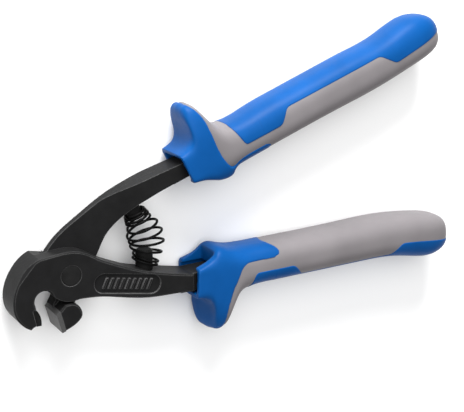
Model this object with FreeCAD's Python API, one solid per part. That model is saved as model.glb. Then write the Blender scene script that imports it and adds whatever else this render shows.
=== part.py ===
import FreeCAD, Part
import math
import os

# Tile nippers, millimetres.
# The tool lies on its side: X runs from the jaws to the handle ends, halfway between the two
# handles, Y points to the upper handle and Z points up, along the pivot.
# Every shape is drawn about the joint plane, where the two levers lap, and lifted at the end so
# that the origin is on the pivot axis at the back face of the jaws.

Vec = FreeCAD.Vector

# --- driving dimensions ---------------------------------------------------------------------
JAW_WIDTH = 15.0            # along Z, both jaws
HALF_JAW = JAW_WIDTH / 2
LAP_GAP = 0.1               # between the two levers at the joint plane
HALF_TANG = 6.0             # tangs run down the middle, 12 mm thick
BOSS_R = 10.8               # round boss of each lever
BOSS_CLEARANCE = 0.3
RIVET_R = 4.3
RIVET_HOLE_R = 4.35
EDGE = 0.6                  # softened edges of the forgings
RIVET_BEVEL = 0.3
PANEL_AT = (22.6, -12.0)    # the oval panel on the front lever's arm
PANEL_ANGLE = -21.0
PANEL_DEPTH = 0.6
RIB_PITCH = 2.5
RIB_COUNT = 9

UPPER_GRIP_AT = (58.0, 25.0)
UPPER_GRIP_ANGLE = 10.0
LOWER_GRIP_AT = (52.0, -20.8)
LOWER_GRIP_ANGLE = -9.3
GRIP_LENGTH = {"upper": 137.6, "lower": 133.6}
TAIL_SWEEP = {"upper": 1.6, "lower": 4.0}   # how far the grip's end curves outwards
SEAM_SHIFT = {"upper": -1.6, "lower": 1.6}  # the back moulding's side edge, outwards
GRIP_POWER = 0.76           # 1 is an ellipse, less is squarer
GRIP_END = 17.0             # length of the rounded end
SKIN = 2.2                  # depth of the coloured mouldings
CORE_END_GAP = 6.0          # the core under them stops this far from the grip's end
MOUTH_HALF = 8.6            # half width of the guard's mouth, along Z
NOTCH_HALF = 7.6            # and of its opening along the inner side
SLEEVE_END = 18.0           # the guard's moulding ends here, measured along the grip
TANG_LENGTH = 92.0

LOWER_STUD_R = 3.7
UPPER_STUD_R = 3.2
STUD_SINK = 4.5             # pressed into the lever
LOWER_STUD_HEIGHT = 6.9
UPPER_STUD_HEIGHT = 4.6
WIRE_R = 0.55
STUD_BEVEL = 0.8
SPRING_FOOT = (33.9, -9.4)  # seat on the front lever
SPRING_HEAD = (34.3, 16.4)  # seat on the rear lever
SPRING_BOW = ((40.3, 1.5), (36.1, 6.6))     # the axis bows towards the handles
# The coil's turns so far, the place along the axis and the mean radius.
SPRING_COIL = [(0.0, 0.03, 5.3), (1.3, 0.08, 5.4), (2.9, 0.30, 7.2), (4.4, 0.52, 7.4),
               (6.3, 0.79, 5.2), (9.4, 0.93, 4.4)]
FOOT_ANGLE = 77.0           # direction of the lower stud
HEAD_ANGLE = -80.0          # direction of the upper stud

TIP_DEPTH = 1.8             # brazed carbide tips


# --- helpers --------------------------------------------------------------------------------
def point(x, y, z=0.0):
    return Vec(x, y, z)


def curve(points):
    """A smooth edge through the points."""
    spline = Part.BSplineCurve()
    spline.interpolate([point(*p) for p in points])
    return spline.toShape()


def line(a, b):
    return Part.LineSegment(point(*a), point(*b)).toShape()


def arc(a, through, b):
    return Part.Arc(point(*a), point(*through), point(*b)).toShape()


def prism(edges, low, high):
    """The area inside the edges, from one height to another."""
    face = Part.Face(Part.Wire(Part.sortEdges(edges)[0]))
    face.translate(Vec(0, 0, low))
    return face.extrude(Vec(0, 0, high - low))


def polygon_prism(points, low, high):
    closed = list(points) + [points[0]]
    return prism([line(a, b) for a, b in zip(closed, closed[1:])], low, high)


def side_prism(points, low, high):
    """A profile drawn in X and Z, from one Y to another."""
    wire = Part.makePolygon([Vec(x, low, z) for x, z in list(points) + [points[0]]])
    return Part.Face(wire).extrude(Vec(0, high - low, 0))


def ramp_prism(ramp, corners, low, high):
    """The same, with a smooth ramp first and straight lines round the corners after it."""
    spline = Part.BSplineCurve()
    spline.interpolate([Vec(x, low, z) for x, z in ramp])
    straight = Part.makePolygon([Vec(x, low, z) for x, z in [ramp[-1]] + corners + [ramp[0]]])
    face = Part.Face(Part.Wire([spline.toShape()] + straight.Edges))
    return face.extrude(Vec(0, high - low, 0))


def cylinder(radius, low, high, at=(0.0, 0.0)):
    return Part.makeCylinder(radius, high - low, Vec(at[0], at[1], low))


def polar(radius, degrees):
    turn = math.radians(degrees)
    return (radius * math.cos(turn), radius * math.sin(turn))


def softened(shape, wanted, size):
    """Chamfer the edges that the test picks."""
    edges = [e for e in shape.Edges if wanted(e)]
    return shape.makeChamfer(size, edges)


def follows_boss(edge):
    return edge.Curve.TypeId == "Part::GeomCircle" and abs(edge.Curve.Radius - BOSS_R) < 1e-4


def lies_at(z):
    """A test for edges that lie in one horizontal plane."""
    return lambda e: abs(e.BoundBox.ZMin - z) < 1e-4 and abs(e.BoundBox.ZMax - z) < 1e-4


# --- the levers' outlines -------------------------------------------------------------------
HOOK_TIP_OUTER = (-21.4, -16.4)
HOOK_TIP_INNER = (-17.1, -15.9)
HOOK_STEP = (-17.3, -7.4)
THROAT_END = polar(BOSS_R, 207)
HOOK_CROWN = (-11.0, 11.2)
SHOULDER_END = polar(BOSS_R + BOSS_CLEARANCE, 124)

HOOK_OUTER = [HOOK_TIP_OUTER, (-24.3, -13.4), (-26.1, -9.0), (-26.0, -4.0), (-23.8, 1.5),
              (-20.0, 6.2), (-15.8, 9.4), HOOK_CROWN]
THROAT = [HOOK_STEP, (-17.2, -5.2), (-15.0, -2.7), (-12.0, -2.4), THROAT_END]
BLOCK_TOP = (-9.9, -14.2)
BLOCK_FOOT = (-9.4, -22.3)

FRONT_TOP = [HOOK_CROWN, (-5.0, 10.8), (2.0, 9.9), (8.0, 7.2), (13.2, 2.6), (20.0, -2.4),
             (29.6, -8.6), (41.0, -14.2), (52.3, -18.8)]
FRONT_UNDERSIDE = [(51.1, -26.5), (42.0, -24.1), (32.0, -21.9), (20.5, -17.7), (10.0, -13.3),
                   (3.0, -11.4), polar(BOSS_R, 270)]

REAR_TOP = [(-6.2, 9.9), (1.9, 15.9), (11.9, 20.2), (23.6, 24.5), (36.6, 27.2), (57.2, 29.4)]
REAR_UNDERSIDE = [(58.2, 23.2), (46.0, 21.0), (36.5, 18.6), (27.0, 14.0), (20.5, 8.9),
                  (15.6, 3.0), polar(BOSS_R, -18)]

BLOCK_BACK = [(-5.3, -11.35), (-2.6, -11.6), (-0.3, -13.0), (0.8, -15.4), (0.7, -18.0),
              (-1.0, -19.8), (-4.4, -21.3), BLOCK_FOOT]


def grip_frame(which):
    """Put a shape that is drawn along a grip into its place on the tool."""
    x, y = UPPER_GRIP_AT if which == "upper" else LOWER_GRIP_AT
    angle = UPPER_GRIP_ANGLE if which == "upper" else LOWER_GRIP_ANGLE
    place = FreeCAD.Placement(Vec(x, y, 0), FreeCAD.Rotation(Vec(0, 0, 1), angle))
    if which == "lower":
        place = place * FreeCAD.Placement(Vec(), FreeCAD.Rotation(Vec(1, 0, 0), 180))
    return place


def placed(shape, which):
    moved = shape.copy()
    moved.Placement = grip_frame(which).multiply(moved.Placement)
    return moved


def tang(which):
    """The part of a lever inside its grip: a tapered bar, thinner at its end."""
    low, high = (-2.0, 4.6) if which == "upper" else (-2.1, 5.7)
    edges = [(-6.0, low), (TANG_LENGTH, low - 0.4), (TANG_LENGTH, low + 4.4), (-6.0, high)]
    bar = polygon_prism(edges, -HALF_TANG, HALF_TANG)
    taper = [(-6.0, -HALF_TANG), (30.0, -HALF_TANG), (TANG_LENGTH, -3.0),
             (TANG_LENGTH, 3.0), (30.0, HALF_TANG), (-6.0, HALF_TANG)]
    return placed(bar.common(side_prism(taper, -20, 20)), which)


# --- the front lever: hook jaw, boss and lower tang -----------------------------------------
def hook_inner_edges():
    return [arc(HOOK_TIP_OUTER, (-19.2, -15.6), HOOK_TIP_INNER),
            arc(HOOK_TIP_INNER, (-16.5, -12.8), (-17.4, -8.9)),
            line((-17.4, -8.9), HOOK_STEP),
            curve(THROAT)]


def hook_tip_blank():
    """The strip of the hook's inner edge that the carbide tip fills."""
    return polygon_prism([(-14.0, -17.5), (-14.0, -8.4), (-17.2 - TIP_DEPTH, -8.7),
                          (-17.0 - TIP_DEPTH, -17.5)], -HALF_JAW, HALF_JAW)


def hook():
    """The hook behind its front edge, hollowed at the back for the rear lever's boss."""
    edges = [curve(HOOK_OUTER)] + hook_inner_edges()
    edges += [line(HOOK_CROWN, SHOULDER_END), line(SHOULDER_END, THROAT_END)]
    blank = softened(prism(edges, -HALF_JAW, HALF_JAW - 2.5), lies_at(-HALF_JAW), EDGE)
    return blank.cut(cylinder(BOSS_R + BOSS_CLEARANCE, -HALF_JAW, HALF_JAW))


def front_plate():
    edges = [curve(HOOK_OUTER)] + hook_inner_edges()
    edges += [arc(THROAT_END, polar(BOSS_R, 240), polar(BOSS_R, 270))]
    edges += [curve(FRONT_UNDERSIDE), line(FRONT_UNDERSIDE[0], FRONT_TOP[-1]), curve(FRONT_TOP)]
    plate = prism(edges, LAP_GAP / 2, HALF_JAW)
    return softened(plate, lambda e: lies_at(HALF_JAW)(e) and not follows_boss(e), EDGE)


def front_arm_back():
    """Behind the joint plane the arm swells to the tang's full thickness."""
    edges = [curve(FRONT_UNDERSIDE[:4]), curve(FRONT_TOP[5:])]
    edges += [line(FRONT_UNDERSIDE[0], FRONT_TOP[-1]), line(FRONT_UNDERSIDE[3], FRONT_TOP[5])]
    arm = prism(edges, -HALF_TANG, LAP_GAP / 2)
    ramp = [(20.0, LAP_GAP / 2), (25.0, -1.2), (31.0, -3.6), (37.0, -5.4), (42.0, -HALF_TANG)]
    corners = [(60.0, -HALF_TANG), (60.0, LAP_GAP / 2)]
    return arm.common(ramp_prism(ramp, corners, -40, 20))


def plane_off_crown(shape):
    """The ground facet across the front of the hook's crown."""
    block = Part.makeBox(60, 30, 30, Vec(-30, 0, 0))
    block.Placement = FreeCAD.Placement(
        Vec(-17.5, 8.6, 6.0), FreeCAD.Rotation(Vec(0, 0, 1), 37) * FreeCAD.Rotation(Vec(1, 0, 0), 45))
    return shape.cut(block)


def thin_to_tang(shape, sign):
    """The outside face slopes from the jaw's width to the tang's."""
    ramp = [(28.0, HALF_JAW), (33.0, 7.3), (39.0, 6.7), (45.0, 6.15), (50.0, HALF_TANG)]
    corners = [(70.0, HALF_TANG), (70.0, HALF_JAW + 1), (28.0, HALF_JAW + 1)]
    wedge = ramp_prism([(x, sign * z) for x, z in ramp], [(x, sign * z) for x, z in corners], -60, 60)
    return shape.cut(wedge)


def on_panel(shape):
    """Turn a shape drawn along the oval panel into line with the arm."""
    shape.Placement = FreeCAD.Placement(
        point(*PANEL_AT), FreeCAD.Rotation(Vec(0, 0, 1), PANEL_ANGLE))
    return shape


def oval_panel():
    """The shallow oval recess in the arm's front face."""
    half_length, radius = 15.0, 4.2
    straight = half_length - radius
    edges = [line((-straight, -radius), (straight, -radius)),
             arc((straight, -radius), (half_length, 0), (straight, radius)),
             line((straight, radius), (-straight, radius)),
             arc((-straight, radius), (-half_length, 0), (-straight, -radius))]
    return on_panel(prism(edges, HALF_JAW - PANEL_DEPTH, HALF_JAW + 1))


def panel_ribs():
    """A row of slanted ribs that stand on the oval panel's floor."""
    ribs = []
    for i in range(RIB_COUNT):
        x = RIB_PITCH * (i - (RIB_COUNT - 1) / 2)
        outline = [(x - 1.1, -2.3), (x - 0.1, -2.3), (x + 1.1, 2.3), (x + 0.1, 2.3)]
        ribs.append(on_panel(polygon_prism(outline, HALF_JAW - PANEL_DEPTH, HALF_JAW - 0.1)))
    return ribs


def front_lever():
    lever = front_plate().fuse([hook(), front_arm_back()]).removeSplitter()
    lever = thin_to_tang(lever, 1)
    lever = plane_off_crown(lever)
    lever = lever.cut(hook_tip_blank())
    lever = lever.cut(cylinder(RIVET_HOLE_R, -1, HALF_JAW + 1))
    lever = lever.cut(oval_panel()).fuse(panel_ribs())
    lever = lever.fuse(tang("lower")).removeSplitter()
    return lever.cut(stud("foot"))


def hook_tip():
    edges = [arc(HOOK_TIP_OUTER, (-19.2, -15.6), HOOK_TIP_INNER),
             arc(HOOK_TIP_INNER, (-16.5, -12.8), (-17.4, -8.9)),
             line((-17.4, -8.9), (-21.0, -8.9)), line((-21.0, -8.9), HOOK_TIP_OUTER)]
    return prism(edges, -HALF_JAW, HALF_JAW).common(hook_tip_blank())


# --- the rear lever: block jaw, boss and upper tang -----------------------------------------
def block_edges():
    return [curve(BLOCK_BACK), line(BLOCK_FOOT, BLOCK_TOP), line(BLOCK_TOP, BLOCK_BACK[0])]


def rear_plate():
    arm = [curve(REAR_TOP), line(REAR_TOP[-1], REAR_UNDERSIDE[0]), curve(REAR_UNDERSIDE),
           line(REAR_UNDERSIDE[-1], (0, 0)), line((0, 0), REAR_TOP[0])]
    neck = [(-5.5, -9.0), (2.5, -10.0), (1.6, -13.5), (0.2, -15.5), (-8.0, -15.5), BLOCK_TOP]
    top = -LAP_GAP / 2
    plate = prism(arm, -HALF_JAW, top)
    plate = plate.fuse([cylinder(BOSS_R, -HALF_JAW, top), polygon_prism(neck, -HALF_JAW, top)])
    return softened(plate.removeSplitter(), lies_at(-HALF_JAW), EDGE)


def outer_bevel():
    """The wedge off the arm's outer back corner, fading out towards the grip."""
    edge = curve(REAR_TOP)
    profiles = []
    for share, size in ((0.0, 1.15), (0.45, 1.0), (1.0, 0.05)):
        at = edge.FirstParameter + share * (edge.LastParameter - edge.FirstParameter)
        tangent = edge.tangentAt(at)
        inwards = Vec(tangent.y, -tangent.x, 0)
        corner = edge.valueAt(at) + Vec(0, 0, -HALF_JAW - 0.5)
        outer = corner - inwards * 0.5
        profiles.append(Part.makePolygon([outer, outer + Vec(0, 0, 0.5 + 4.5 * size),
                                          corner + inwards * 2.0 * size, outer]))
    return Part.Wire([edge]).makePipeShell(profiles, True, False)


def rear_arm_front():
    """In front of the joint plane the arm swells to the tang's full thickness."""
    edges = [curve(REAR_TOP[2:]), curve(REAR_UNDERSIDE[:5])]
    edges += [line(REAR_TOP[-1], REAR_UNDERSIDE[0]), line(REAR_UNDERSIDE[4], REAR_TOP[2])]
    arm = prism(edges, -LAP_GAP / 2, HALF_TANG)
    ramp = [(20.0, -LAP_GAP / 2), (25.0, 1.2), (31.0, 3.6), (37.0, 5.4), (42.0, HALF_TANG)]
    corners = [(64.0, HALF_TANG), (64.0, -LAP_GAP / 2)]
    return arm.common(ramp_prism(ramp, corners, -20, 50))


def bite_blank():
    return polygon_prism([(-12.0, -13.0), (-9.9 + TIP_DEPTH, -13.0), (-9.4 + TIP_DEPTH, -23.0),
                          (-12.0, -23.0)], -HALF_JAW, HALF_JAW)


def rear_lever():
    jaw = prism(block_edges(), -HALF_JAW, HALF_JAW)
    jaw = softened(jaw, lambda e: lies_at(HALF_JAW)(e) or lies_at(-HALF_JAW)(e), EDGE)
    lever = rear_plate().cut(outer_bevel()).fuse([jaw, rear_arm_front()]).removeSplitter()
    lever = thin_to_tang(lever, -1)
    lever = lever.cut(bite_blank())
    lever = lever.cut(cylinder(RIVET_HOLE_R, -HALF_JAW - 1, 1))
    lever = lever.fuse(tang("upper")).removeSplitter()
    return lever.cut(stud("head"))


def block_tip():
    return prism(block_edges(), -HALF_JAW, HALF_JAW).common(bite_blank())


def pivot_rivet():
    """A headless rivet, flush with both levers, its ends slightly bevelled."""
    rivet = cylinder(RIVET_R, -HALF_JAW, HALF_JAW)
    return softened(rivet, lambda e: e.Curve.TypeId == "Part::GeomCircle", RIVET_BEVEL)


# --- the return spring and its studs --------------------------------------------------------
def spring_axis(t):
    """A point on the spring's bowed axis, from its foot at 0 to its head at 1."""
    weights = ((1 - t) ** 3, 3 * t * (1 - t) ** 2, 3 * t * t * (1 - t), t ** 3)
    along = Vec()
    for weight, p in zip(weights, (SPRING_FOOT, *SPRING_BOW, SPRING_HEAD)):
        along += point(*p) * weight
    return along


def stud(end):
    """A round peg, pressed into a lever, that the spring's end coils sit on."""
    foot = end == "foot"
    at, angle = (SPRING_FOOT, FOOT_ANGLE) if foot else (SPRING_HEAD, HEAD_ANGLE)
    length = STUD_SINK + (LOWER_STUD_HEIGHT if foot else UPPER_STUD_HEIGHT)
    way = point(*polar(1.0, angle))
    start = point(*at) - way * STUD_SINK
    peg = Part.makeCylinder(LOWER_STUD_R if foot else UPPER_STUD_R, length, start, way)
    end_middle = start + way * length
    return softened(peg, lambda e: e.CenterOfMass.distanceToPoint(end_middle) < 0.01, STUD_BEVEL)


def coil_at(turns):
    """Place along the axis and mean radius of the coil after some turns, by a smooth curve."""
    turns = min(turns, SPRING_COIL[-1][0])
    i = max(k for k in range(len(SPRING_COIL) - 1) if SPRING_COIL[k][0] <= turns)
    a, b = SPRING_COIL[i], SPRING_COIL[i + 1]
    t = (turns - a[0]) / (b[0] - a[0])
    ease = t * t * (3 - 2 * t)
    return a[1] + (b[1] - a[1]) * t, a[2] + (b[2] - a[2]) * ease


def return_spring():
    """Round wire wound in a barrel about the bowed axis, with close turns at both ends."""
    last = SPRING_COIL[-1][0]
    count = int(last * 16)
    points = []
    for i in range(count + 1):
        turns = last * i / count
        t, radius = coil_at(turns)
        along = spring_axis(t + 0.01) - spring_axis(t - 0.01)
        along.normalize()
        out = Vec(along.y, -along.x, 0)
        angle = 2 * math.pi * turns
        points.append(spring_axis(t) + out * (radius * math.cos(angle))
                      + Vec(0, 0, 1) * (radius * math.sin(angle)))
    path = Part.BSplineCurve()
    path.interpolate(points)
    start = path.tangent(path.FirstParameter)[0]
    ring = Part.Wire(Part.Circle(points[0], start, WIRE_R).toShape())
    return Part.Wire(path.toShape()).makePipeShell([ring], True, True)


# --- the grips ------------------------------------------------------------------------------
def grip_sizes(x, which):
    """Middle, outer and inner half heights and half thickness of the grip at x."""
    length = GRIP_LENGTH[which]
    tail = max(0.0, (x - 88.0) / (length - 88.0))
    outer = 9.4 + 2.4 * math.exp(-((x - length + 14.0) / 15.0) ** 2)
    inner = 9.2 + 0.8 * math.exp(-((x - 98.0) / 22.0) ** 2)
    thick = 11.0 + 0.5 * math.sin(math.pi * min(1.0, x / length))
    cap = max(0.0, (x - length + GRIP_END) / (GRIP_END + 0.3))
    shrink = (1.0 - cap ** 2.6) ** (1 / 2.6)
    return TAIL_SWEEP[which] * tail ** 2, outer * shrink, inner * shrink, thick * shrink


def grip_section(x, which, inset):
    """The rounded outline of the grip at x, drawn in Y and Z."""
    middle, outer, inner, thick = grip_sizes(x, which)
    points = []
    for i in range(28):
        turn = 2 * math.pi * i / 28
        c, s = math.cos(turn), math.sin(turn)
        high = (outer if s > 0 else inner) - inset
        y = middle + high * math.copysign(abs(s) ** GRIP_POWER, s)
        z = (thick - inset) * math.copysign(abs(c) ** GRIP_POWER, c)
        points.append(Vec(x, y, z))
    ring = Part.BSplineCurve()
    ring.interpolate(points, PeriodicFlag=True)
    return Part.Wire(ring.toShape())


def grip_solid(which, inset, end_gap):
    """The grip from the guard to its end, or its core under the mouldings."""
    length = GRIP_LENGTH[which]
    along = [SLEEVE_END - inset, 28.0, 45.0, 65.0, 85.0, 100.0, 110.0]
    along += [length - d for d in (21.0, 16.0, 11.5, 8.0, 5.0, 2.8, 1.2, 0.2) if d > end_gap]
    return Part.makeLoft([grip_section(x, which, inset) for x in along], True)


def skin(which):
    """The outer layer of the grip, that the blue mouldings are cut from."""
    return grip_solid(which, 0.0, 0.0).cut(grip_solid(which, SKIN, CORE_END_GAP))


def grip_back(which):
    """The outer moulding: a strip down the back of the grip, wide at both ends."""
    end = GRIP_LENGTH[which] + 2.0
    edge = [(24.0, 22.0), (26.4, 9.0), (28.2, 0.2), (47.0, 0.2), (51.8, 6.2), (101.0, 5.8),
            (108.5, 0.2), (end, 0.6)]
    points = [(x, y + SEAM_SHIFT[which]) for x, y in edge] + [(end, 22.0)]
    return skin(which).common(polygon_prism(points, -20, 20))


def tongue(which):
    """The guard moulding's tongue, under the inner side of the grip."""
    edge = [(10.0, -3.2), (37.5, -3.6), (40.0, -6.0), (36.5, -16.0), (10.0, -16.0)]
    return skin(which).common(polygon_prism(edge, -20, 20))


def guard_side():
    """The guard seen along Z, from its mouth over the lobe to the handle and back."""
    front = [(0.0, 8.9), (4.6, 9.9), (7.5, 13.4), (8.2, 18.0), (8.0, 23.4)]
    back = [(14.2, 25.6), (17.3, 20.6), (19.4, 15.6), (22.3, 11.7), (27.5, 9.3)]
    inner = [(27.5, -9.1), (21.0, -9.5), (16.0, -11.2), (9.0, -8.2), (1.0, -4.6)]
    edges = [curve(front), arc(front[-1], (10.2, 26.8), back[0]), curve(back)]
    edges += [line(back[-1], inner[0]), curve(inner), line(inner[-1], front[0])]
    return prism(edges, -11.0, 11.0)


def guard_front():
    """The guard seen along X: square with cut corners below, a round lobe above."""
    half = 10.9
    lobe = Part.Ellipse(Vec(0, 0, 0), 18.2, half)
    edge = Part.ArcOfEllipse(lobe, -math.pi / 2, math.pi / 2).toShape()
    edge.Placement = FreeCAD.Placement(
        Vec(-2, 9.0, 0), FreeCAD.Rotation(Vec(0, 1, 0), Vec(0, 0, 1), Vec(1, 0, 0), "XYZ"))
    corners = [(9.0, -half), (-4.5, -half), (-9.5, -half + 4.0), (-13.0, -half + 6.0),
               (-13.0, half - 6.0), (-9.5, half - 4.0), (-4.5, half), (9.0, half)]
    low = Part.makePolygon([Vec(-2, y, z) for y, z in corners])
    face = Part.Face(Part.Wire(Part.sortEdges(low.Edges + [edge])[0]))
    return face.extrude(Vec(31, 0, 0))


def guard():
    """The flared guard: what both of its outlines share, blue in front and gray behind."""
    return guard_side().common(guard_front())


def mouth():
    """The open mouth around the tang, open along the inner side too."""
    pocket = polygon_prism([(-1.0, -3.2), (15.0, -3.2), (15.0, 7.4), (-1.0, 7.4)],
                           -MOUTH_HALF, MOUTH_HALF)
    notch = polygon_prism([(-1.0, -14.0), (9.8, -14.0), (10.8, -3.0), (-1.0, -3.0)],
                          -NOTCH_HALF, NOTCH_HALF)
    return pocket.fuse(notch)


def guard_split(shape, front):
    """The guard in front of the seam between its two colours, or behind it."""
    seam = [(15.0, 30.0), (15.0, 26.0), (17.8, 20.0), (17.8, 13.0), (16.9, 3.0), (17.6, 0.4),
            (19.6, -1.3), (23.0, -3.2), (30.0, -3.2), (30.0, -13.0)]
    far = [(-3.0, -13.0), (-3.0, 30.0)] if front else [(40.0, -13.0), (40.0, 30.0)]
    return shape.common(polygon_prism(seam + far, -20, 20))


def grip_nodes(which):
    bar = tang(which)
    moulded = guard()
    handle = grip_solid(which, 0.0, 0.0)
    back = grip_back(which)
    tongue_part = tongue(which)
    flare = guard_split(moulded, True)
    sleeve = flare.cut(mouth()).fuse(tongue_part.cut(flare))
    body = handle.fuse(guard_split(moulded, False)).cut(back).cut(tongue_part).cut(flare)
    solids = {"sleeve": sleeve, "body": body, "back": back}
    return {f"{which}_grip_{name}": placed(shape, which).cut(bar) for name, shape in solids.items()}


# --- writing the nodes ----------------------------------------------------------------------
def nodes():
    made = {"front_lever": front_lever(),
            "hook_tip": hook_tip(),
            "rear_lever": rear_lever(),
            "block_tip": block_tip(),
            "pivot_rivet": pivot_rivet(),
            "lower_spring_stud": stud("foot"),
            "upper_spring_stud": stud("head"),
            "return_spring": return_spring()}
    made.update(grip_nodes("lower"))
    made.update(grip_nodes("upper"))
    return made


os.makedirs("parts", exist_ok=True)
for name, shape in nodes().items():
    shape.translate(Vec(0, 0, HALF_JAW))
    shape.exportStep(f"parts/{name}.step")
    print(f"{name:20s} valid={shape.isValid()} solids={len(shape.Solids)} volume={shape.Volume:.0f}")
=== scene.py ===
import math

import bpy
import numpy as np
from mathutils import Matrix, Vector


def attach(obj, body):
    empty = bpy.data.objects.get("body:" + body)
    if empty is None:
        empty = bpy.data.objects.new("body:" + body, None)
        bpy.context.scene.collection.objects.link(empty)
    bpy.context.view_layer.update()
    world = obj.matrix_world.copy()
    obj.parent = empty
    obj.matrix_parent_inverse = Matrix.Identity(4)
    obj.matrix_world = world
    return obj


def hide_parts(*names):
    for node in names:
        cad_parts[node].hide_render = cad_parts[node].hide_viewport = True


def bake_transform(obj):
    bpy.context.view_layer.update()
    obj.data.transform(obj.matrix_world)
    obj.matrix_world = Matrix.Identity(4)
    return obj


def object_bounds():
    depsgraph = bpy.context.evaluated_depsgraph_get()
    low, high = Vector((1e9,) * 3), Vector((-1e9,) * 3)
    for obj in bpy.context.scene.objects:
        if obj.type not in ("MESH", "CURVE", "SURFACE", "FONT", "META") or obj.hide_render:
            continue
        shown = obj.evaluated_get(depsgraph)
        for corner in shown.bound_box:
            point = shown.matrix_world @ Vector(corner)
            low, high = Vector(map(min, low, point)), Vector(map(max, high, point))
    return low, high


# Tile nippers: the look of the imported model, with moulded grips and a wound spring.

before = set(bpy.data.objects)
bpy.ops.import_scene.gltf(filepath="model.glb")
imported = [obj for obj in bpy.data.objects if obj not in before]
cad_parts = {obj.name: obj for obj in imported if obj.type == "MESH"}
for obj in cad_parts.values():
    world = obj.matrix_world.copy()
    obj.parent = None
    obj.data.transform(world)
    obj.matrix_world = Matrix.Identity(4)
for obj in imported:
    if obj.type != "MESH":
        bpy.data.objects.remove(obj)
cad_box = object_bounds()

MM = 0.001
FRONT, REAR = "front_body", "rear_body"
MID_PLANE = 7.5                 # mm, the joint plane's height

# The camera looks at its target from this direction.
CAMERA_FROM = Vector((-0.3815, 0.3440, 0.8580))
CAMERA_UP = Vector((0.3167, 0.9207, -0.2283))
CAMERA_TARGET = Vector((78.9, 1.7, MID_PLANE)) * MM
CAMERA_DISTANCE = 0.560
PICTURE_WIDTH_AT_TARGET = 0.200

# The grips, in mm and degrees: X runs along a grip from its mouth, Y away from the other grip
# and Z across. Each has a place and turns, a length, an outward curve at its tail (sweep), extra
# fullness of its back (rise), a shift of the back moulding's edge, and a forward lean of the lobe.
UPPER_GRIP = {"body": REAR, "at": (58.0, 25.0), "angle": 10.0, "turn": 0.0,
              "length": 137.6, "sweep": 1.6, "rise": 1.2, "edge_shift": -0.8, "slant": 0.0}
LOWER_GRIP = {"body": FRONT, "at": (52.0, -20.8), "angle": -9.3, "turn": 180.0,
              "length": 133.6, "sweep": 4.0, "rise": 0.0, "edge_shift": 1.6, "slant": 2.8}
SWEEP_START = 88.0              # the tail curves outwards from here
GRIP_POWER = 0.76               # 1 is an ellipse, less is squarer
OUTER_REACH = 9.2               # from the handle's middle to its back
INNER_REACH = 9.1               # and to its inner side
HALF_THICK = 10.9
END_SWELL = (2.4, 14.0, 15.0)   # the back's swell: height, place before the end, and width
BELLY = (0.8, 98.0, 22.0)       # the inner side's swell: height, place and width
THICKENING = 0.5                # the middle's extra half thickness
GRIP_END = 17.0                 # length of the rounded end
OUTER_END_POWER = 2.6           # 2 rounds the end like an ellipse, more is squarer
INNER_END_POWER = 3.6
RISE_RAMP = (23.0, 26.0)        # the fuller back starts here, over this length
RISE_FALL = (112.0, 24.0)       # and ends here, over this length
LEAN_UP = (8.0, 8.0)            # the lobe's lean grows outwards from this Y, over this length
LEAN_BACK = (24.0, 8.0)         # fades out before this X, over this length
LEAN_ACROSS = (-8.0, 16.0)      # and grows across from this Z, over this length

# The two-colour mouldings, in mm.
PROUD = 0.2                     # the blue stands this far above the gray
TUCK = 0.6                      # and its edges dip this far below it
EDGE_WIDTH = 0.6                # over this width
SLEEVE_DEPTH = 1.6              # the sleeve's edge goes this far into the gray
SLEEVE_FLOOR = 2.5              # the depth of the sleeve's hidden inner side
SLEEVE_FRONT = 15.5             # the hidden inner side runs forwards to here
MOUTH = ((-5.0, -3.2, -8.4), (13.5, 7.0, 8.4), 1.2)         # box corners and edge rounding
MOUTH_NOTCH = ((-5.0, -16.0, -6.7), (10.3, -1.0, 6.7), 0.8)

# Mesh fineness: points round a handle, across the back moulding and round half a sleeve, rows
# along a sleeve and on the rounded ends, sides and steps of the wire, and steps round a corner.
HANDLE_COLUMNS = 112
STRIP_COLUMNS = 61
SLEEVE_HALF = 72
SLEEVE_ROWS = 72
HANDLE_END_ROWS = 28
STRIP_END_ROWS = 120
WIRE_SIDES = 12
WIRE_STEPS = 490
CORNER_STEPS = 6
HANDLE_STEP = 0.8               # mm between rings along a handle
STRIP_STEP = 0.3                # mm between rows along the back moulding
STRIP_FRONT = (2.0, 0.07)       # mm, the length and the finer step of the moulding's front
REMESH_SIZE = 0.4               # mm
TIP_GAP = 0.01                  # mm, the last ring or row is this far short of a handle's tip
NO_WIDTH = 0.001                # radians; narrower rows of the back moulding are left out
END_CROWDING = 1.6              # 1 spaces a row's points evenly, more crowds them at its ends

# The gray handle's front, flared behind the guard: place along the grip, outer point X and Y,
# inner point X and Y, half thickness, and the outline's power.
FLARE = [(15.0, 11.2, 25.0, 17.0, -8.0, 9.8, 0.50),
         (17.0, 13.4, 25.6, 19.0, -8.8, 10.4, 0.56),
         (18.5, 15.0, 23.9, 20.2, -9.0, 10.7, 0.60),
         (20.3, 16.8, 20.0, 21.6, -9.1, 10.9, 0.66),
         (22.3, 18.9, 15.2, 23.0, -9.1, 11.0, 0.71),
         (24.8, 21.8, 11.6, 25.2, -9.1, 11.0, 0.74),
         (28.5, 26.9, 9.8, 28.5, -9.1, 11.0, 0.76),
         (33.0, 33.0, 9.2, 33.0, -9.1, 11.1, 0.76),
         (38.0, 38.0, 9.2, 38.0, -9.1, 11.2, 0.76)]
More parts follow.
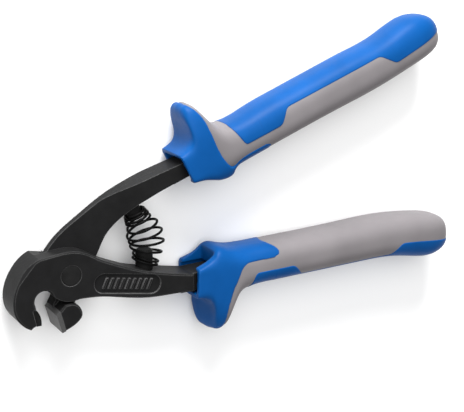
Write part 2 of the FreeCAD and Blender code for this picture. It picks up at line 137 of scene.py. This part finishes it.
# The sleeve: place, outer point X and Y, half thickness, and the outline's power.
GUARD = [(0.0, 0.0, 8.9, 10.7, 0.22),
         (2.0, 3.4, 9.6, 10.7, 0.28),
         (4.0, 6.0, 11.2, 10.7, 0.36),
         (6.0, 7.6, 14.0, 10.7, 0.43),
         (8.0, 8.2, 18.0, 10.7, 0.49),
         (10.0, 8.2, 22.0, 10.7, 0.54),
         (12.0, 8.8, 24.8, 10.7, 0.57),
         (14.0, 10.2, 26.2, 10.7, 0.58),
         (16.0, 12.0, 26.2, 10.7, 0.58),
         (18.0, 14.2, 25.2, 10.8, 0.60),
         (20.0, 16.8, 21.8, 10.9, 0.64),
         (24.0, 21.4, 13.4, 11.0, 0.73),
         (28.0, 26.6, 10.2, 11.1, 0.76),
         (33.0, 33.0, 9.4, 11.2, 0.76),
         (42.0, 42.0, 9.4, 11.3, 0.76)]
# The sleeve's inner side: place, and the inner point's X and Y.
UPPER_GRIP["inner"] = [(0.0, 1.0, -4.6), (4.0, 6.5, -6.6), (8.0, 11.2, -9.4), (10.0, 13.4, -10.8),
                       (12.0, 15.4, -11.5), (14.0, 17.2, -11.9), (16.0, 19.0, -11.9),
                       (17.5, 20.4, -11.4), (18.8, 21.4, -10.3), (20.5, 22.8, -9.5),
                       (24.0, 25.0, -9.2), (42.0, 42.0, -9.1)]
LOWER_GRIP["inner"] = [(0.0, 1.0, -4.6), (4.0, 6.0, -6.6), (7.0, 9.2, -8.8), (9.0, 11.0, -10.8),
                       (11.0, 12.6, -11.5), (13.0, 14.4, -11.2), (16.0, 17.6, -10.1),
                       (20.0, 21.6, -9.3), (25.0, 25.8, -9.2), (30.0, 30.0, -9.1),
                       (42.0, 42.0, -9.1)]
# The sleeve's seam with the gray: place along the grip and Y, from the lobe's tip to the end of
# the tongue.
UPPER_GRIP["seam"] = [(16.0, 26.2), (17.4, 23.5), (18.2, 19.0), (18.0, 14.0), (17.3, 8.0),
                      (16.9, 3.0), (16.9, -2.0), (17.3, -5.4), (18.2, -7.0), (20.0, -6.8),
                      (22.5, -5.6), (27.0, -4.9), (33.0, -4.6), (37.5, -4.8), (39.5, -5.6),
                      (40.0, -6.8), (39.4, -7.9), (37.8, -8.7), (36.2, -9.1)]
LOWER_GRIP["seam"] = [(16.0, 26.2), (16.6, 23.5), (16.7, 19.0), (17.0, 14.4), (18.2, 8.2),
                      (20.3, 2.2), (21.4, -1.0), (22.8, -2.5), (25.2, -3.2), (33.0, -3.4),
                      (37.5, -3.6), (39.6, -4.4), (40.2, -5.8), (39.4, -7.4), (37.6, -8.6),
                      (36.2, -9.1)]
# The back moulding's side edge: place along the grip and Y, with straight runs between. Each grip
# has its own step near the end.
EDGE_START = [(27.4, 10.4), (28.3, 0.2), (47.0, 0.2), (52.0, 6.2)]
UPPER_GRIP["step"] = [(102.0, 5.8), (108.6, -0.8)]
LOWER_GRIP["step"] = [(98.5, 5.8), (104.0, 0.1)]
EDGE_END = [(140.0, 0.7)]
EDGE_CORNER = 1.7               # rounding of the edge's corners

# The return spring, in mm: the control points of its bowed axis, then the coil's turns so far,
# place on the axis, from 0 to 1, and radius.
SPRING_AXIS = [Vector((33.9, -9.4, 0)), Vector((40.3, 1.5, 0)), Vector((36.1, 6.6, 0)),
               Vector((34.3, 16.4, 0))]
SPRING_COIL = [(0.0, 0.03, 5.3), (1.3, 0.08, 5.4), (2.9, 0.30, 7.2), (4.4, 0.52, 7.4),
               (6.3, 0.79, 5.2), (9.4, 0.93, 4.4)]
WIRE_R = 0.55
OFF_WIRE = Vector((0.3, 0.9, 0.2))      # a direction that the wire never runs along

# The floor, in metres.
FLOOR_HALF = 3.0
FLOOR_GAP = 0.0002              # below the tool


# --- small helpers --------------------------------------------------------------------------
def glide(table, place):
    """The other columns of a table at a place in its first column, by a smooth curve."""
    last = len(table) - 2
    i = max(0, min(last, sum(row[0] <= place for row in table) - 1))
    a, b = table[i], table[i + 1]
    before = table[i - 1] if i > 0 else a
    after = table[i + 2] if i < last else b
    span = b[0] - a[0]
    t = max(0.0, min(1.0, (place - a[0]) / span))
    out = []
    for k in range(1, len(a)):
        slope_a = (b[k] - before[k]) / (b[0] - before[0]) * span
        slope_b = (after[k] - a[k]) / (after[0] - a[0]) * span
        out.append(a[k] * (2 * t ** 3 - 3 * t ** 2 + 1) + slope_a * (t ** 3 - 2 * t ** 2 + t)
                   + b[k] * (3 * t ** 2 - 2 * t ** 3) + slope_b * (t ** 3 - t ** 2))
    return out


def smooth_step(t):
    """A smooth rise from 0 to 1 as t goes from 0 to 1."""
    t = max(0.0, min(1.0, t))
    return t * t * (3 - 2 * t)


def signed_power(value, power):
    """A power of the value's size, with the value's sign."""
    return math.copysign(abs(value) ** power, value)


def add_mesh(name, points, faces, material):
    """A smooth-shaded object made of these points and faces."""
    mesh = bpy.data.meshes.new(name)
    mesh.from_pydata(points, [], faces)
    mesh.materials.append(material)
    mesh.shade_smooth()
    piece = bpy.data.objects.new(name, mesh)
    bpy.context.collection.objects.link(piece)
    return piece


def grid_faces(rows, columns, closed):
    """Quads between rows of points, wrapped round if the rows are rings."""
    faces = []
    for i in range(rows - 1):
        here, there = i * columns, (i + 1) * columns
        for j in range(columns if closed else columns - 1):
            k = (j + 1) % columns
            faces.append((here + j, here + k, there + k, there + j))
    return faces


def tube(name, rings, material):
    """A closed skin through rings of points."""
    columns = len(rings[0])
    faces = grid_faces(len(rings), columns, True)
    faces.append(tuple(reversed(range(columns))))
    faces.append(tuple(range((len(rings) - 1) * columns, len(rings) * columns)))
    return add_mesh(name, [p for ring in rings for p in ring], faces, material)


# --- materials ------------------------------------------------------------------------------
class Material:
    """A material with a Principled shader, and short ways to add nodes to it.

    Noise scales are per metre, and bump distances and edge radii are in metres.
    """

    def __init__(self, name):
        self.material = bpy.data.materials.new(name)
        self.material.use_nodes = True
        self.tree = self.material.node_tree
        self.shader = self.tree.nodes["Principled BSDF"]
        self.coords = self.add("ShaderNodeTexCoord").outputs["Object"]

    def plug(self, node, inputs):
        """Link another node's output to an input, or set a plain value on it."""
        for key, value in inputs.items():
            socket = node.inputs[key.replace("_", " ")]
            if hasattr(value, "is_output"):
                self.tree.links.new(value, socket)
            else:
                socket.default_value = value

    def add(self, kind, **inputs):
        node = self.tree.nodes.new(kind)
        self.plug(node, inputs)
        return node

    def set(self, **inputs):
        self.plug(self.shader, inputs)

    def combine(self, kind, operation, first, second):
        node = self.add(kind)
        node.operation = operation
        self.tree.links.new(first, node.inputs[0])
        self.tree.links.new(second, node.inputs[1])
        return node.outputs["Value"]

    def noise(self, scale, detail=3.0):
        node = self.add("ShaderNodeTexNoise", Vector=self.coords, Scale=scale, Detail=detail)
        return node.outputs["Fac"]

    def ramp(self, factor, low, high, start=0.3, end=0.7):
        """A colour that goes from low to high as the factor goes from start to end."""
        node = self.add("ShaderNodeValToRGB", Fac=factor)
        node.color_ramp.elements[0].position = start
        node.color_ramp.elements[1].position = end
        node.color_ramp.elements[0].color = low
        node.color_ramp.elements[1].color = high
        return node.outputs["Color"]

    def spread(self, factor, low, high):
        """A factor stretched from 0 to 1 into low to high."""
        node = self.add("ShaderNodeMapRange", Value=factor)
        node.inputs["To Min"].default_value = low
        node.inputs["To Max"].default_value = high
        return node.outputs["Result"]

    def bump(self, height, strength, distance, normal=None):
        node = self.add("ShaderNodeBump", Height=height, Strength=strength, Distance=distance)
        if normal:
            self.tree.links.new(normal, node.inputs["Normal"])
        return node.outputs["Normal"]

    def rounded(self, radius):
        """A normal that makes sharp edges look rounded."""
        node = self.add("ShaderNodeBevel", Radius=radius)
        node.samples = 6
        return node.outputs["Normal"]


def gray(value, tint=0.0):
    """A gray colour, with a little more blue in it if it has a tint."""
    return (value, value, value + tint, 1.0)


def rubber(name, low, high):
    """Matt moulded rubber with a fine grain, between two close colours."""
    m = Material(name)
    m.set(Base_Color=m.ramp(m.noise(60.0), low, high),
          Roughness=m.spread(m.noise(400.0), 0.36, 0.48),
          Specular_IOR_Level=0.08,
          Normal=m.bump(m.noise(2600.0), 0.12, 0.0003))
    return m.material


def black_steel():
    """A satin black forging, its edges lighter: partly rubbed wear, partly a painted highlight."""
    m = Material("black_steel")
    rounded = m.rounded(0.0006)
    flat = m.add("ShaderNodeNewGeometry").outputs["True Normal"]
    alike = m.combine("ShaderNodeVectorMath", "DOT_PRODUCT", rounded, flat)
    # Edges are lightened in patches: partly rubbed wear, partly a painted highlight where the
    # edges would catch the light.
    edge = m.ramp(alike, gray(1.0), gray(0.0), 0.80, 0.99)
    patches = m.spread(m.noise(500.0), 0.1, 0.9)
    wear_and_highlight = m.combine("ShaderNodeMath", "MULTIPLY", edge, patches)
    tone = m.ramp(m.noise(160.0, 6.0), gray(0.0095, 0.0002), gray(0.0125, 0.0003))
    mix = m.add("ShaderNodeMix")
    mix.data_type = "RGBA"
    m.tree.links.new(wear_and_highlight, mix.inputs["Factor"])
    m.tree.links.new(tone, mix.inputs["A"])
    # The lighter edge colour: partly worn metal, partly a painted highlight.
    mix.inputs["B"].default_value = gray(0.18)
    m.set(Base_Color=mix.outputs["Result"],
          Metallic=0.0,
          Specular_IOR_Level=0.02,
          Roughness=m.spread(m.noise(700.0), 0.26, 0.40),
          Normal=m.bump(m.noise(900.0, 5.0), 0.16, 0.0004, rounded))
    return m.material


def dark_steel(name, low, high, rough):
    """Smooth dark metal, between two close grays."""
    m = Material(name)
    m.set(Base_Color=m.ramp(m.noise(250.0), gray(low), gray(high)),
          Specular_IOR_Level=0.02,
          Roughness=m.spread(m.noise(900.0), rough - 0.06, rough + 0.06),
          Normal=m.bump(m.noise(2500.0), 0.08, 0.0002, m.rounded(0.0003)))
    return m.material


def ground_carbide():
    """A ground face, with fine scratches across it."""
    m = Material("carbide")
    stretch = m.add("ShaderNodeMapping", Vector=m.coords, Scale=(300.0, 6000.0, 300.0))
    noise = m.add("ShaderNodeTexNoise", Vector=stretch.outputs["Vector"], Scale=1.0, Detail=2.0)
    scratches = noise.outputs["Fac"]
    m.set(Base_Color=m.ramp(scratches, gray(0.035), gray(0.06)),
          Metallic=0.15,
          Roughness=m.spread(m.noise(600.0), 0.36, 0.5),
          Normal=m.bump(scratches, 0.10, 0.0002, m.rounded(0.0002)))
    return m.material


BLUE = rubber("blue_rubber", (0.0010, 0.053, 0.200, 1.0), (0.0020, 0.065, 0.245, 1.0))
GRAY = rubber("gray_rubber", (0.152, 0.142, 0.147, 1.0), (0.175, 0.163, 0.169, 1.0))
BLACK = black_steel()
CARBIDE = ground_carbide()
HOOK_CARBIDE = dark_steel("hook_carbide", 0.006, 0.012, 0.36)
RIVET = dark_steel("rivet_steel", 0.009, 0.015, 0.34)
WIRE = dark_steel("spring_wire", 0.003, 0.006, 0.30)


# --- the grips ------------------------------------------------------------------------------
def grip_place(grip):
    """The matrix that takes a grip's own mm to the model's metres."""
    x, y = grip["at"]
    place = Matrix.Translation(Vector((x, y, MID_PLANE)))
    place = place @ Matrix.Rotation(math.radians(grip["angle"]), 4, "Z")
    return Matrix.Scale(MM, 4) @ place @ Matrix.Rotation(math.radians(grip["turn"]), 4, "X")


def bell(x, middle, width):
    """A swell of height 1 round its middle."""
    return math.exp(-((x - middle) / width) ** 2)


def tail_sweep(x, grip):
    """How far the handle's middle has curved outwards at x."""
    return grip["sweep"] * max(0.0, (x - SWEEP_START) / (grip["length"] - SWEEP_START)) ** 2


def back_rise(x, grip):
    """How much fuller the handle's back is between the guard and the end's swell."""
    start, ramp = RISE_RAMP
    end, fall = RISE_FALL
    return grip["rise"] * smooth_step((x - start) / ramp) * smooth_step((end - x) / fall)


def end_shrink(cap, power):
    """The rounded end's profile: 1 where it starts, 0 at the tip."""
    return (1.0 - min(1.0, cap) ** power) ** (1 / power)


def section(x, grip):
    """The handle's outline at x: outer, middle and inner points, half thickness and power.

    The last value is 0 where the surface runs along the grip, and 1 at its very end.
    """
    if x < FLARE[-1][0]:
        ox, oy, ix, iy, thick, power = glide(FLARE, x)
        oy += back_rise(x, grip)
        return Vector((ox, oy, 0)), Vector((x, 0, 0)), Vector((ix, iy, 0)), thick, power, 0.0
    length = grip["length"]
    swell, before_end, width = END_SWELL
    belly, belly_at, belly_width = BELLY
    outer = OUTER_REACH + swell * bell(x, length - before_end, width) + back_rise(x, grip)
    inner = INNER_REACH + belly * bell(x, belly_at, belly_width)
    thick = HALF_THICK + THICKENING * math.sin(math.pi * min(1.0, x / length))
    cap = max(0.0, (x - length + GRIP_END) / GRIP_END)
    shrink = end_shrink(cap, OUTER_END_POWER)
    inner_shrink = end_shrink(cap, INNER_END_POWER)
    facing_end = min(1.0, cap) ** (OUTER_END_POWER - 1)
    middle = tail_sweep(x, grip)
    return (Vector((x, middle + outer * shrink, 0)), Vector((x, middle, 0)),
            Vector((x, middle - inner * inner_shrink, 0)), thick * shrink, GRIP_POWER, facing_end)


def guard_section(x, grip):
    """The sleeve's outline at x, in the same terms."""
    ox, oy, thick, power = glide(GUARD, x)
    ix, iy = glide(grip["inner"], x)
    return Vector((ox, oy, 0)), Vector((x, 0, 0)), Vector((ix, iy, 0)), thick, power, 0.0


def on_section(parts, turn, inset=0.0):
    """The point of a section at an angle, below its surface by the inset.

    The outer side is at 90 degrees and the inner side at -90.
    """
    outer, middle, inner, thick, power, facing_end = parts
    s, c = math.sin(turn), math.cos(turn)
    arm = (outer if s > 0 else inner) - middle
    arm = arm * max(0.0, 1.0 - inset / max(arm.length, 1e-6))
    point = middle + arm * abs(s) ** power
    point.z = max(0.0, thick - inset) * signed_power(c, power)
    point.x -= inset * facing_end
    return point


def slanted(point, grip):
    """The point moved with the guard's lobe, which leans forwards on one side."""
    high = smooth_step((point.y - LEAN_UP[0]) / LEAN_UP[1])
    front = smooth_step((LEAN_BACK[0] - point.x) / LEAN_BACK[1])
    side = smooth_step((point.z - LEAN_ACROSS[0]) / LEAN_ACROSS[1])
    point.x -= grip["slant"] * high * front * side
    return point


def angle_at(parts, y):
    """The angle at which a section's side has this Y."""
    outer, middle, inner, _, power, _ = parts
    arm = (outer if y > middle.y else inner) - middle
    ratio = min(1.0, abs(y - middle.y) / max(abs(arm.y), 1e-6))
    return math.copysign(math.asin(ratio ** (1 / power)), y - middle.y)


def stations(start, length, step, end_rows):
    """Places along the handle, closer together where its end rounds over."""
    bend = length - GRIP_END
    places = list(np.arange(start, bend, step))
    quarter = [math.pi / 2 * i / end_rows for i in range(end_rows + 1)]
    return places + [bend + (GRIP_END - TIP_GAP) * math.sin(turn) for turn in quarter]


def handle_core(grip, label):
    """The gray handle, flared at the front behind the guard."""
    rings = []
    for x in stations(FLARE[0][0], grip["length"], HANDLE_STEP, HANDLE_END_ROWS):
        parts = section(x, grip)
        rings.append([slanted(on_section(parts, 2 * math.pi * j / HANDLE_COLUMNS, PROUD), grip)
                      for j in range(HANDLE_COLUMNS)])
    return tube(f"{label}_grip_core", rings, GRAY)


def rounded_line(points, radius):
    """A polyline with its corners cut by short curves."""
    line = [points[0]]
    for a, b, c in zip(points, points[1:], points[2:]):
        a, b, c = Vector(a), Vector(b), Vector(c)
        start = b + (a - b).normalized() * radius
        end = b + (c - b).normalized() * radius
        for k in range(CORNER_STEPS + 1):
            t = k / CORNER_STEPS
            line.append(tuple(start * (1 - t) ** 2 + b * (2 * t * (1 - t)) + end * t * t))
    return line + [points[-1]]


def edge_depth(distance):
    """How far below the handle's surface a moulding's skin is, by the distance from its edge."""
    rise = np.clip(distance / EDGE_WIDTH, 0.0, 1.0)
    return (PROUD + TUCK) * (1.0 - np.sqrt(1.0 - (1.0 - rise) ** 2))


def distance_to_edge(grid):
    """For each point of a grid of points, how far it is from the grid's outline."""
    outline = np.concatenate([grid[0], grid[-1], grid[:, 0], grid[:, -1]])
    return np.array([np.min(np.linalg.norm(row[:, None, :] - outline[None, :, :], axis=2), axis=1)
                     for row in grid])


def across(count):
    """Steps from -1 to 1, close together at both ends."""
    steps = np.linspace(-1, 1, count)
    return [math.copysign(1 - (1 - abs(t)) ** END_CROWDING, t) for t in steps]


def back_strip(grip, label):
    """The blue moulding down the back of the handle, its edges dipping into the gray."""
    edge = rounded_line(EDGE_START + grip["step"] + EDGE_END, EDGE_CORNER)
    edge_x, edge_y = zip(*edge)
    start = edge_x[0]
    front, fine_step = STRIP_FRONT
    places = list(np.arange(start, start + front, fine_step))
    places += stations(start + front, grip["length"], STRIP_STEP, STRIP_END_ROWS)
    rows = []
    for x in places:
        y = float(np.interp(x, edge_x, edge_y))
        parts = section(x, grip)
        side = angle_at(parts, y + grip["edge_shift"] + tail_sweep(x, grip))
        half_angle = math.pi / 2 - side
        if half_angle > NO_WIDTH:
            rows.append([(parts, math.pi / 2 + t * half_angle) for t in across(STRIP_COLUMNS)])
    surface = np.array([[on_section(parts, turn) for parts, turn in row] for row in rows])
    depths = edge_depth(distance_to_edge(surface))
    points = [on_section(parts, turn, depths[i][j])
              for i, row in enumerate(rows) for j, (parts, turn) in enumerate(row)]
    faces = grid_faces(len(rows), STRIP_COLUMNS, False)
    return add_mesh(f"{label}_grip_strip", points, faces, BLUE)


def seam_at(share, grip):
    """The seam's place and angle, from the lobe's tip at 0 to the tongue's end at 1."""
    seam = grip["seam"]
    table = [(0.0, *seam[0])]
    for a, b in zip(seam, seam[1:]):
        table.append((table[-1][0] + math.dist(a, b), *b))
    x, y = glide(table, share * table[-1][0])
    return x, angle_at(guard_section(x, grip), y)


def sleeve_columns(grip):
    """For each column round the sleeve: its angle at the mouth, and the seam's place and angle."""
    side = []
    for i in range(SLEEVE_HALF + 1):
        mouth = math.pi / 2 - math.pi * i / SLEEVE_HALF
        x, turn = seam_at(i / SLEEVE_HALF, grip)
        if i in (0, SLEEVE_HALF):
            turn = mouth
        side.append((mouth, x, turn))
    other = [(math.pi - mouth, x, math.pi - turn) for mouth, x, turn in reversed(side[1:-1])]
    return side + other


def sleeve_rings(grip):
    """Rings from the mouth back to the seam, then under the surface and forwards again."""
    columns = sleeve_columns(grip)
    rings = []
    for i in range(SLEEVE_ROWS + 1):
        share = i / SLEEVE_ROWS
        ring = []
        for mouth, x, turn in columns:
            point = on_section(guard_section(x * share, grip), mouth + (turn - mouth) * share)
            ring.append(slanted(point, grip))
        rings.append(ring)
    for inset, reach in ((SLEEVE_DEPTH, 1.0), (SLEEVE_FLOOR, 0.5), (SLEEVE_FLOOR, 0.0)):
        ring = []
        for _, x, turn in columns:
            front = min(x, SLEEVE_FRONT)
            parts = guard_section(front + (x - front) * reach, grip)
            ring.append(slanted(on_section(parts, turn, inset), grip))
        rings.append(ring)
    return rings


def rounded_box(low, high, radius):
    """A box with rounded edges, as a cutter."""
    corners = [Vector((x, y, z))
               for x in (low[0], high[0]) for y in (low[1], high[1]) for z in (low[2], high[2])]
    faces = [(0, 1, 3, 2), (4, 6, 7, 5), (0, 4, 5, 1), (2, 3, 7, 6), (0, 2, 6, 4), (1, 5, 7, 3)]
    cutter = add_mesh("cutter", corners, faces, BLUE)
    bevel = cutter.modifiers.new("round", "BEVEL")
    bevel.width = radius
    bevel.segments = 4
    return cutter


def settled(piece):
    """The piece with its modifiers made part of its mesh."""
    depsgraph = bpy.context.evaluated_depsgraph_get()
    mesh = bpy.data.meshes.new_from_object(piece.evaluated_get(depsgraph))
    piece.modifiers.clear()
    piece.data = mesh
    return piece


def even_out(piece):
    """Give the piece even small faces, smooth-shaded."""
    remesh = piece.modifiers.new("even", "REMESH")
    remesh.mode = "VOXEL"
    remesh.voxel_size = REMESH_SIZE
    remesh.use_smooth_shade = True


def sleeve(grip, label):
    """The blue guard and tongue, open at the front and along the inner side of the mouth."""
    piece = tube(f"{label}_grip_guard", sleeve_rings(grip), BLUE)
    cutters = [rounded_box(*MOUTH), rounded_box(*MOUTH_NOTCH)]
    even_out(piece)
    for cutter in cutters:
        cut = piece.modifiers.new("cut", "BOOLEAN")
        cut.operation = "DIFFERENCE"
        cut.solver = "EXACT"
        cut.object = cutter
    even_out(piece)
    smooth = piece.modifiers.new("soften", "SMOOTH")
    smooth.factor = 0.5
    smooth.iterations = 5
    settled(piece)
    for cutter in cutters:
        bpy.data.objects.remove(cutter)
    return piece


def make_grip(grip, label):
    """The three mouldings of a grip, in place of its CAD solids."""
    pieces = [(handle_core(grip, label), "body", "gray_rubber"),
              (back_strip(grip, label), "back", "blue_rubber"),
              (sleeve(grip, label), "sleeve", "blue_rubber")]
    place = grip_place(grip)
    for piece, node, slot in pieces:
        piece.data.transform(place)
        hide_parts(f"{label}_grip_{node}")
        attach(piece, grip["body"])


# --- the return spring ----------------------------------------------------------------------
def spring_axis(t):
    """The point at a share of the spring's bowed axis."""
    a, b, c, d = SPRING_AXIS
    return a * (1 - t) ** 3 + b * (3 * t * (1 - t) ** 2) + c * (3 * t * t * (1 - t)) + d * t ** 3


def coil_at(turns):
    """Place along the axis and mean radius of the coil after some turns."""
    i = max(k for k in range(len(SPRING_COIL) - 1) if SPRING_COIL[k][0] <= turns)
    a, b = SPRING_COIL[i], SPRING_COIL[i + 1]
    t = (turns - a[0]) / (b[0] - a[0])
    return a[1] + (b[1] - a[1]) * t, a[2] + (b[2] - a[2]) * smooth_step(t)


def spring_line():
    """Points along the wire."""
    line = []
    nudge = 0.01
    for turns in np.linspace(0.0, SPRING_COIL[-1][0], WIRE_STEPS):
        t, radius = coil_at(float(turns))
        along = (spring_axis(t + nudge) - spring_axis(t - nudge)).normalized()
        out = Vector((along.y, -along.x, 0))
        angle = 2 * math.pi * turns
        across_axis = Vector((0, 0, radius * math.sin(angle)))
        line.append(spring_axis(t) + out * (radius * math.cos(angle)) + across_axis)
    return line


def make_spring():
    """The wound spring, held by a lever at each end, in place of its CAD piece."""
    line = spring_line()
    rings = []
    for i, p in enumerate(line):
        along = (line[min(i + 1, len(line) - 1)] - line[max(i - 1, 0)]).normalized()
        side = along.cross(OFF_WIRE).normalized()
        up = along.cross(side)
        turns = [2 * math.pi * k / WIRE_SIDES for k in range(WIRE_SIDES)]
        rings.append([p + (side * math.cos(a) + up * math.sin(a)) * WIRE_R for a in turns])
    spring = tube("return_spring_coil", rings, WIRE)
    lift = Vector((0, 0, MID_PLANE))
    spring.data.transform(Matrix.Scale(MM, 4) @ Matrix.Translation(lift))
    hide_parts("return_spring")
    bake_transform(spring)


# --- the metal pieces -----------------------------------------------------------------------
def finish_metal():
    """Materials for the CAD pieces that stay as they are."""
    finishes = {"front_lever": BLACK, "rear_lever": BLACK, "hook_tip": HOOK_CARBIDE,
                "block_tip": CARBIDE, "pivot_rivet": RIVET, "lower_spring_stud": RIVET,
                "upper_spring_stud": RIVET}
    for node, material in finishes.items():
        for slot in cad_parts[node].material_slots:
            slot.material = material


# --- floor, light and camera ----------------------------------------------------------------
def paper_material():
    m = Material("paper")
    m.set(Base_Color=m.ramp(m.noise(3.0), gray(0.90), gray(0.93)), Roughness=0.9)
    return m.material


def make_floor():
    """A square floor just under the tool."""
    half = FLOOR_HALF
    z = cad_box[0][2] - FLOOR_GAP
    corners = [(-half, -half, z), (half, -half, z), (half, half, z), (-half, half, z)]
    floor = add_mesh("floor", corners, [(0, 1, 2, 3)], paper_material())


def add_light(name, towards, distance, size, power):
    """A round soft light that shines at the camera's target from a direction."""
    data = bpy.data.lights.new(name, "AREA")
    data.shape = "DISK"
    data.size = size
    data.energy = power
    lamp = bpy.data.objects.new(name, data)
    direction = Vector(towards).normalized()
    lamp.location = CAMERA_TARGET + direction * distance
    lamp.rotation_euler = direction.to_track_quat("Z", "Y").to_euler()
    bpy.context.collection.objects.link(lamp)


def make_lights():
    """An even white surround, a key light from the upper grip's side and a soft one above."""
    world = bpy.data.worlds.new("studio")
    world.use_nodes = True
    background = world.node_tree.nodes["Background"]
    background.inputs["Color"].default_value = (1.0, 1.0, 1.0, 1.0)
    background.inputs["Strength"].default_value = 0.47
    bpy.context.scene.world = world
    add_light("key", (0.1, 1.0, 0.36), 0.9, 0.5, 17.0)
    add_light("top", (-0.15, 0.42, 1.0), 1.2, 1.4, 12.5)
    bpy.context.scene.view_settings.view_transform = "Standard"


def make_camera():
    """The camera, with the lens that fits the picture's width at its target."""
    data = bpy.data.cameras.new("camera")
    data.sensor_width = 36.0
    data.lens = data.sensor_width * CAMERA_DISTANCE / PICTURE_WIDTH_AT_TARGET
    camera = bpy.data.objects.new("camera", data)
    back = CAMERA_FROM.normalized()
    right = CAMERA_UP.cross(back).normalized()
    up = back.cross(right)
    turn = Matrix((right, up, back)).transposed().to_4x4()
    camera.matrix_world = Matrix.Translation(CAMERA_TARGET + back * CAMERA_DISTANCE) @ turn
    bpy.context.collection.objects.link(camera)
    bpy.context.scene.camera = camera


make_grip(UPPER_GRIP, "upper")
make_grip(LOWER_GRIP, "lower")
make_spring()
finish_metal()
make_floor()
make_lights()
make_camera()
